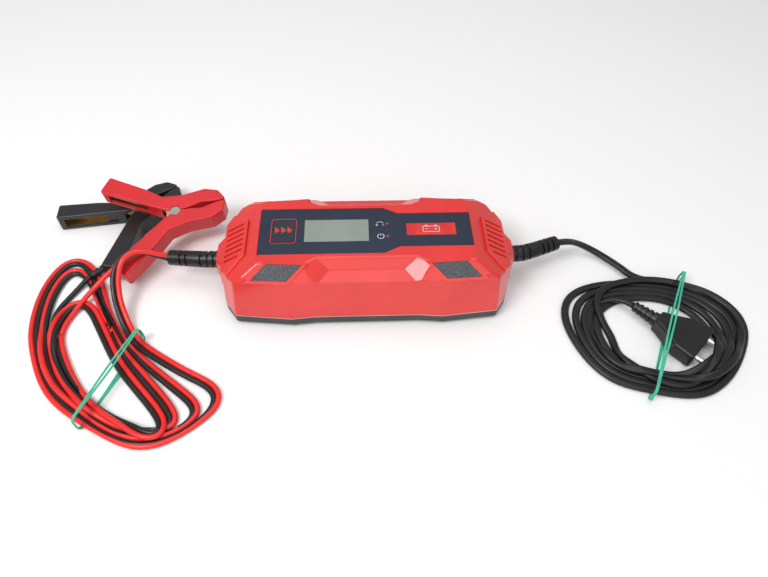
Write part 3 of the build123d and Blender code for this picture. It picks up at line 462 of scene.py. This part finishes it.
# ---------------------------------------------------------------- mains lead, flat, black
MAINS_W = 5.2
MAINS_T = 3.3
MAINS_CORNER_R = 1.45
MAINS_ROUTE = [
    (137.4, 12.0, 20.0), (147.5, 16.5, 17.0), (158.0, 20.0, 11.0), (168.5, 18.5, 6.0),
    (178.0, 12.0, 4.0), (186.0, 3.0, 4.0), (193.5, -7.5, 4.5),
]
MAINS_OUTER = [
    (203, -10), (226, -14), (246, -23), (258, -37), (260, -53), (252, -71), (236, -91), (217, -104.5),
    (199, -104.5), (180, -99.5), (160, -94.5), (147, -80.5), (138.5, -59), (134.5, -38), (141, -19),
    (166, -9),
]
MAINS_INNER = [
    (199, -28), (211, -31), (222, -40), (228, -54), (226, -68), (218, -79), (208, -84), (197, -84),
    (187, -82), (178, -79), (170, -74), (164, -68), (162, -60), (164, -49), (171, -38), (183, -30),
]
MAINS_TURNS = [
    # how far in each turn lies: at the top, right, bottom and left
    (0.00, 0.00, 0.05, 0.00),
    (0.20, 0.18, 0.22, 0.27),
    (0.38, 0.36, 0.42, 0.50),
    (0.58, 0.60, 0.68, 0.74),
    (0.80, 0.86, 0.20, 1.20),
    (0.00, 0.06, 0.55, 0.42),
]
PLUG_ENTRY = (186.0, -36.5, 6.65)
PLUG_TURN = math.radians(-46.0)
MAINS_LAST = [
    (151.5, -51, 6.0), (154, -38, 6.2), (161, -28.5, 6.4), (171, -26, 6.6), (180, -30.5, 6.65),
    PLUG_ENTRY,
]


MAINS_LOW = 4.0          # how high the first turn is drawn
MAINS_FIXED = 62.0       # how much of the lead's start the solver leaves as it is drawn
MAINS_ROUNDS = 170
FADE = 12.0              # over this length a held wire becomes free


def plug_obstacles():
    """Balls that fill the plug and its pins, so that the lead lies round and over them."""
    balls = []
    ahead = Vector((math.cos(PLUG_TURN), math.sin(PLUG_TURN), 0))
    beside = Vector((-ahead.y, ahead.x, 0))
    start = Vector(PLUG_ENTRY)
    for i in range(9):
        for k in (-1, 0, 1):
            reach = 3.0 if i < 2 else 9.0
            balls.append((np.array(start + ahead * (20 + 3.6 * i) + beside * (k * reach)), 6.4))
    for i in range(7):
        for k in (-1, 1):
            balls.append((np.array(start + ahead * (50 + 3 * i) + beside * (k * 9.3)), 2.6))
    return balls


def mains_cord():
    """The flat mains lead, from the strain relief to the plug, and its centre line."""
    coil = turns(MAINS_OUTER, MAINS_INNER, MAINS_TURNS, MAINS_LOW)
    line = spline_points(MAINS_ROUTE + coil[:-4] + MAINS_LAST)
    step = np.arange(len(line))
    roll = 0.5 * np.sin(step * SAMPLE / 61.0) * np.clip(step / 40 - 1, 0, 1)
    gap = MAINS_W - MAINS_T
    first, second = pair_of(line, gap, roll)
    n = len(line)
    reach = np.arange(n) * SAMPLE
    free = np.clip((reach - MAINS_FIXED) / FADE, 0, 1) * np.clip((reach[-1] - 4 - reach) / FADE, 0, 1)
    first, second = settle(
        [first, second], np.tile(np.arange(n), 2), MAINS_T / 2,
        np.stack([np.arange(n), np.arange(n) + n], 1), gap, np.tile(free, 2), plug_obstacles(),
        MAINS_ROUNDS)
    centre = (first + second) / 2
    verts, faces = sweep(centre, first - second, rounded(MAINS_W, MAINS_T, MAINS_CORNER_R))
    cord = piece("mains_cord", verts, faces, ["black_pvc"])
    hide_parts("mains_lead", "mains_coil")
    return cord, centre


# ---------------------------------------------------------------- output lead, twin, red and black
WIRE_D = 3.6
OUTPUT_ROUTE = [
    (-137.0, 4.5, 20.0), (-144.0, 4.5, 22.5), (-151.5, 3.8, 27.2), (-160.5, 1.8, 30.2),
    (-167.5, -4.5, 28.4), (-170.5, -14.0, 22.0), (-169.5, -24.0, 14.5), (-166.5, -34.0, 9.5),
]
OUTPUT_OUTER = [
    (-156, -53), (-138, -66), (-116, -80), (-98, -89), (-93, -98), (-98, -107), (-110, -117),
    (-125, -127), (-141, -128.5), (-159, -119), (-178, -107), (-200, -90), (-214, -66), (-224.5, -37),
    (-226, -2), (-216, 23), (-201, 17), (-184, -19),
]
OUTPUT_INNER = [
    (-163, -69), (-146, -89), (-132, -104), (-124, -115), (-123, -123), (-130, -125.5), (-141, -120),
    (-153, -113.5), (-164, -107), (-174, -100), (-184, -90), (-194, -76), (-203, -59), (-207, -43),
    (-203, -32), (-193, -28.5), (-182, -38), (-172, -54),
]
OUTPUT_TURNS = [
    # how far in each turn lies: right lobe, lower side, left side and upper lobe
    (0.00, 0.00, 0.02, 0.05, 0.00, 0.00),
    (0.32, 0.42, 0.28, 0.35, 0.20, 0.16),
    (0.62, 0.82, 0.72, 0.62, 0.72, 0.78),
    (0.98, 1.00, 1.00, 0.95, 1.00, 1.00),
]
SPLIT = [(-202.5, -64, 4.2), (-207.5, -49, 4.0)]     # the last points before the two wires part
BLACK_WIRE_ROUTE = [
    (-212.5, -34.0, 2.4), (-211.0, -23.0, 2.4), (-206.5, -13.2, 2.2), (-201.0, -3.4, 3.2),
    (-196.0, 2.0, 4.8),
]
RED_WIRE_ROUTE = [
    (-204.0, -34.0, 4.0), (-196.5, -20.0, 6.0), (-189.5, -11.5, 8.4), (-185.5, -7.4, 10.2),
    (-181.0, -3.6, 12.6), (-176.5, -1.0, 15.0),
]
OUTPUT_LOW = 4.5         # how high the first turn is drawn
OUTPUT_FIXED = 60.0      # how much of the lead's start the solver leaves as it is drawn
OUTPUT_ROUNDS = 240
CLAMPS = {
    "red": Matrix.Translation((-137.5, 42.0, 23.8)) @ Matrix.Rotation(math.radians(11.3), 4, "X")
    @ Matrix.Rotation(math.radians(16.1), 4, "Z"),
    "black": Matrix.Translation((-173.6, 61.8, 6.8)) @ Matrix.Rotation(math.radians(43.0), 4, "Z"),
}
HANDLE_ANGLE = math.radians(40.0)    # between a handle and the clamp's long axis


def handle_place(colour, along, across):
    """A point of the handle of a clamp's cable arm."""
    x = -along * math.cos(HANDLE_ANGLE) + across * math.sin(HANDLE_ANGLE)
    y = along * math.sin(HANDLE_ANGLE) + across * math.cos(HANDLE_ANGLE)
    return CLAMPS[colour] @ Vector((x, -y, 0.0))


def handle_obstacles():
    """Balls that fill the cable arms' handles, so that the lead lies round them."""
    balls = []
    for colour in CLAMPS:
        for i in range(14):
            for across in (-2.5, 3.5):
                balls.append((np.array(handle_place(colour, 19 + 3 * i, across)), 6.6))
    return balls


def parted(strand, route):
    """The wire that goes on from the end of one strand of the twin lead, in line with it."""
    line = spline_points([tuple(strand[k]) for k in (-9, -5, -1)] + route)
    return line[int(np.argmin(np.linalg.norm(line - strand[-1], axis=1))) + 1:]


def output_cords():
    """The twin lead, its centre line, and the two single wires that go on to the clamps."""
    coil = turns(OUTPUT_OUTER, OUTPUT_INNER, OUTPUT_TURNS, OUTPUT_LOW)
    twin = spline_points(OUTPUT_ROUTE + coil[:-8] + SPLIT)
    n = len(twin)
    reach = np.arange(n) * SAMPLE
    # upright where it leaves the strain relief, gently twisted in the coil, half a turn at its end
    swing = np.radians(75) * np.sin(reach / 118.0 + 0.4) * np.clip(reach / 60 - 1, 0, 1)
    roll = np.radians(90) * np.clip(1 - reach / 45, 0, 1) + swing
    roll = roll + math.pi * np.clip((reach - reach[-1] + 150) / 120, 0, 1)
    red, black = pair_of(twin, WIRE_D, roll)
    black_wire, red_wire = parted(black, BLACK_WIRE_ROUTE), parted(red, RED_WIRE_ROUTE)
    black, red = np.concatenate([black, black_wire]), np.concatenate([red, red_wire])
    nb, nr = len(black), len(red)
    free = [np.clip((np.arange(k) * SAMPLE - OUTPUT_FIXED) / FADE, 0, 1) for k in (nb, nr)]
    free = [f * np.clip((len(f) - 1 - np.arange(len(f))) * SAMPLE / 22 - 0.2, 0, 1) for f in free]
    partners = np.stack([np.arange(n), np.arange(n) + nb], 1)
    black, red = settle(
        [black, red], np.concatenate([np.arange(nb), np.arange(nr)]), WIRE_D / 2,
        partners, WIRE_D, np.concatenate(free), handle_obstacles(), OUTPUT_ROUNDS)
    ring = circle(WIRE_D / 2, 14)
    verts, faces, slots = [], [], []
    for k, line in enumerate((red[:n], black[:n])):
        v, f = sweep(line, red[:n] - black[:n], ring)
        faces += [tuple(i + len(verts) for i in face) for face in f]
        verts += v
        slots += [k] * len(f)
    cord = piece("output_cord", verts, faces, ["red_pvc", "wire_black"], slots=slots)
    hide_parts("output_lead", "output_coil")
    wires = {}
    for colour, line, look in (("red", red[n - 1:], "red_pvc"), ("black", black[n - 1:], "wire_black")):
        v, f = sweep(line, sideways(line), ring)
        wire = piece(f"{colour}_wire", v, f, [look])
        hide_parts(f"{colour}_clamp_wire")
        wires[colour] = (wire, line)
    return cord, (black[:n] + red[:n]) / 2, wires


# ---------------------------------------------------------------- green rubber bands
BAND_TOP = 13.8
BAND_LOW = 0.45
BAND_W = 1.35
BAND_T = 0.8


def band(name, node, start, end):
    """A stretched rubber band: two strands round the coil, straight over it and under it."""
    start, end = Vector((*start, 0)), Vector((*end, 0))
    ahead = (end - start).normalized()
    beside = Vector((-ahead.y, ahead.x, 0))
    length = (end - start).length
    height = BAND_TOP - BAND_LOW
    flat = rounded(length, height, min(3.5, height / 2 - 0.1), 5)
    verts, faces = [], []
    for strand in (-1, 1):
        loop, dense = [], []
        for (x0, z0), (x1, z1) in zip(flat, flat[1:] + flat[:1]):
            steps = max(1, round(math.hypot(x1 - x0, z1 - z0) / 4))
            dense += [(x0 + (x1 - x0) * i / steps, z0 + (z1 - z0) * i / steps) for i in range(steps)]
        for x, z in dense:
            share = x / length
            apart = strand * (0.75 + 0.55 * math.sin(share * 5.0 + (1.2 if z > 0 else 0)))
            lift = Vector((0, 0, (BAND_TOP + BAND_LOW) / 2 + z))
            loop.append(start + ahead * (length / 2 + x) + beside * apart + lift)
        across = np.tile(np.array(beside), (len(loop), 1))
        v, f = sweep([tuple(p) for p in loop], across, rounded(BAND_W, BAND_T, 0.3, 2), closed=True)
        faces += [tuple(i + len(verts) for i in face) for face in f]
        verts += v
    obj = piece(name, verts, faces, ["band_green"])
    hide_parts(node)
    return obj


# ---------------------------------------------------------------- housing, plug and clamp covers
for node in ("top_shell", "base_shell", "plug_body", "plug_sleeve", "mains_strain_relief",
             "output_strain_relief"):
    softened(node, ROOT)
softened("mode_button", "mode_key")
for colour in CLAMPS:
    softened(f"{colour}_clamp_cable_cover", ROOT)
    softened(f"{colour}_clamp_free_cover", f"{colour}_free_arm")

# ---------------------------------------------------------------- the leads and their bands
mains, mains_line = mains_cord()
output, output_line, wires = output_cords()
mains_band = band("mains_band", "mains_coil_band", (176.8, -107.1), (228.3, -10.4))
output_band = band("output_band", "output_coil_band", (-175.2, -116.0), (-149.8, -50.6))


# ---------------------------------------------------------------- print on the panel and the button, and painted shade on the key
INK = 0.04               # how thick a printed mark is


def printed(name, outline, top, look, body=ROOT, hole=None):
    """A thin shape, for print and for painted shade. top is a height, or gives one from x and y. hole
    is an inner outline.
    """
    height = top if callable(top) else lambda x, y: top
    loops = [outline] if hole is None else [outline, hole]
    n = len(outline)
    verts = [(x, y, height(x, y) + lift) for lift in (-INK, INK) for loop in loops for x, y in loop]
    low, high = 0, n * len(loops)
    faces = []
    for k in range(len(loops)):
        for i in range(n):
            j = (i + 1) % n
            faces.append((low + k * n + i, low + k * n + j, high + k * n + j, high + k * n + i))
    for base in (low, high):
        if hole is None:
            faces.append(tuple(base + i for i in range(n)))
        else:
            faces += [(base + i, base + (i + 1) % n, base + n + (i + 1) % n, base + n + i)
                      for i in range(n)]
    return piece(name, verts, faces, [look], body=body, smooth=False)


ARC_STEPS = 24


def arc(centre, radius, start, end, width):
    """The outline of a bow of a circle, start and end in degrees."""
    angles = [math.radians(start + (end - start) * i / ARC_STEPS) for i in range(ARC_STEPS + 1)]
    x, y = centre
    outer, inner = radius + width / 2, radius - width / 2
    points = [(x + outer * math.cos(a), y + outer * math.sin(a)) for a in angles]
    return points + [(x + inner * math.cos(a), y + inner * math.sin(a)) for a in reversed(angles)]


def oblong(x0, x1, y0, y1):
    """The outline of a rectangle."""
    return [(x0, y0), (x1, y0), (x1, y1), (x0, y1)]


BUTTON = (-62.4, -47.3, -9.8, 10.8)  # low and high x, low and high y
BUTTON_FOLD_Y = BUTTON[2] + 7.5      # where the key's lower face starts to slope
BUTTON_SLOPE = 0.08
button_middle = ((BUTTON[0] + BUTTON[1]) / 2, (BUTTON[2] + BUTTON[3]) / 2)
button_size = (BUTTON[1] - BUTTON[0], BUTTON[3] - BUTTON[2])


def key_top(x, y):
    """The height of the mode button's top."""
    return DECK_Z + min(0.0, y - BUTTON_FOLD_Y) * BUTTON_SLOPE


printed("button_outline",
        rounded(button_size[0] + 1.75, button_size[1] + 1.75, 2.2, centre=button_middle),
        PANEL_TOP, "print_red",
        hole=rounded(button_size[0] + 0.75, button_size[1] + 0.75, 1.7, centre=button_middle))
printed("button_face", rounded(button_size[0] - 1.2, BUTTON[3] - BUTTON_FOLD_Y - 0.7, 1.0,
                               centre=(button_middle[0], (BUTTON[3] + BUTTON_FOLD_Y) / 2 - 0.2)),
        key_top, "print_slate", "mode_key")
for i in range(3):
    x = -60.6 + 4.15 * i
    printed(f"button_arrow_{i}", [(x, -2.9), (x + 3.3, 0.6), (x, 4.1)],
            lambda px, py: key_top(px, py) + 0.03, "print_red", "mode_key")
# painted shade: a dark trapezoid over the key's sloped lower face
printed("button_painted_shade", [(-61.4, -9.0), (-48.3, -9.0), (-51.6, -3.4), (-58.1, -3.4)],
        lambda px, py: key_top(px, py) + 0.02, "painted_shade_dark", "mode_key")

WINDOW = (-42.0, 2.8, -10.7, 11.3)
window_middle = ((WINDOW[0] + WINDOW[1]) / 2, (WINDOW[2] + WINDOW[3]) / 2)
window_size = (WINDOW[1] - WINDOW[0], WINDOW[3] - WINDOW[2])
printed("window_outline",
        rounded(window_size[0] - 1.2, window_size[1] - 1.2, 0.5, centre=window_middle),
        PANEL_TOP, "print_slate",
        hole=rounded(window_size[0] - 2.0, window_size[1] - 2.0, 0.3, centre=window_middle))

# the wrong-way-round mark: an arc over two terminals
printed("polarity_arc", arc((9.5, 5.2), 2.5, 28, 152, 0.42), PANEL_TOP, "print_white")
printed("polarity_left", oblong(6.7, 7.9, 4.2, 5.3), PANEL_TOP, "print_white")
printed("polarity_right", oblong(11.0, 12.2, 4.5, 4.95), PANEL_TOP, "print_white")
# the power mark: an open ring and a stroke
printed("power_ring", arc((9.7, -5.6), 2.15, 118, 422, 0.5), PANEL_TOP, "print_white")
printed("power_stroke", oblong(9.47, 9.93, -5.0, -2.9), PANEL_TOP, "print_white")

# a plain badge with a battery mark
BADGE = (27.2, 60.3, -5.0, 5.8)
badge_middle = ((BADGE[0] + BADGE[1]) / 2, (BADGE[2] + BADGE[3]) / 2)
badge_top = PANEL_TOP + 0.05
printed("badge", oblong(*BADGE), PANEL_TOP + 0.02, "badge_red")
printed("badge_battery", rounded(11.4, 5.4, 0.6, centre=badge_middle), badge_top, "print_white",
        hole=rounded(10.5, 4.5, 0.3, centre=badge_middle))
for side in (-1, 1):
    x = badge_middle[0] + side * 3.2
    printed(f"badge_pole_{side + 1}", oblong(x - 1.0, x + 1.0, 3.1, 4.0), badge_top, "print_white")
    printed(f"badge_bar_{side + 1}",
            oblong(x - 1.0, x + 1.0, badge_middle[1] - 0.22, badge_middle[1] + 0.22),
            badge_top, "print_white")
x = badge_middle[0] + 3.2
printed("badge_plus", oblong(x - 0.22, x + 0.22, badge_middle[1] - 1.0, badge_middle[1] + 1.0),
        badge_top + 0.02, "print_white")


# ---------------------------------------------------------------- camera, floor and light
CAMERA_AT = (-5.08, -286.87, 346.86)
PITCH, YAW, ROLL = (math.radians(a) for a in (51.46, -3.65, 1.73))
SENSOR = 36
FOCAL = 615.81 / 768 * SENSOR        # 615.81 pixels, in a picture 768 wide
FLOOR_COLOUR = (0.93, 0.93, 0.93, 1)
WORLD_STRENGTH = 0.42

camera = bpy.data.objects.new("camera", bpy.data.cameras.new("camera"))
bpy.context.scene.collection.objects.link(camera)
camera.data.sensor_width = SENSOR
camera.data.lens = FOCAL
camera.data.clip_start = 0.01
ahead = Vector((0, math.cos(PITCH), -math.sin(PITCH)))
right = Vector((1, 0, 0))
above = right.cross(ahead)
turned = Matrix.Rotation(YAW, 3, "Z")
ahead, right, above = turned @ ahead, turned @ right, turned @ above
right, above = (
    right * math.cos(ROLL) + above * math.sin(ROLL), above * math.cos(ROLL) - right * math.sin(ROLL))
camera.matrix_world = Matrix.Translation(Vector(CAMERA_AT) * MM) @ Matrix((
    (right.x, above.x, -ahead.x), (right.y, above.y, -ahead.y), (right.z, above.z, -ahead.z))).to_4x4()
bpy.context.scene.camera = camera

floor_mesh = bpy.data.meshes.new("floor")
floor_mesh.from_pydata([(-4, -4, 0), (4, -4, 0), (4, 4, 0), (-4, 4, 0)], [], [(0, 1, 2, 3)])
floor = bpy.data.objects.new("floor", floor_mesh)
floor_look, _, floor_shader = new_look("floor_white")
floor_shader.inputs["Base Color"].default_value = FLOOR_COLOUR
floor_shader.inputs["Roughness"].default_value = 0.7
floor_mesh.materials.append(floor_look)
bpy.context.scene.collection.objects.link(floor)

world = bpy.data.worlds.new("studio")
world.use_nodes = True
world.node_tree.nodes["Background"].inputs["Color"].default_value = (1.0, 1.0, 1.0, 1)
world.node_tree.nodes["Background"].inputs["Strength"].default_value = WORLD_STRENGTH
bpy.context.scene.world = world
bpy.context.scene.view_settings.view_transform = "Standard"


def lamp(name, place, target, size, power):
    """A soft rectangular light in metres and watts."""
    light = bpy.data.lights.new(name, "AREA")
    light.shape = "RECTANGLE"
    light.size, light.size_y = size
    light.energy = power
    obj = bpy.data.objects.new(name, light)
    bpy.context.scene.collection.objects.link(obj)
    obj.location = place
    obj.rotation_euler = (Vector(target) - Vector(place)).to_track_quat("-Z", "Y").to_euler()


lamp("key", (-0.55, -0.45, 0.95), (0, 0, 0.03), (0.4, 0.4), 6.5)
lamp("front", (0.15, -1.1, 0.75), (0, 0, 0.02), (1.2, 0.5), 2.6)
lamp("above", (0.1, 0.1, 1.3), (0, 0, 0), (1.4, 1.0), 6.0)
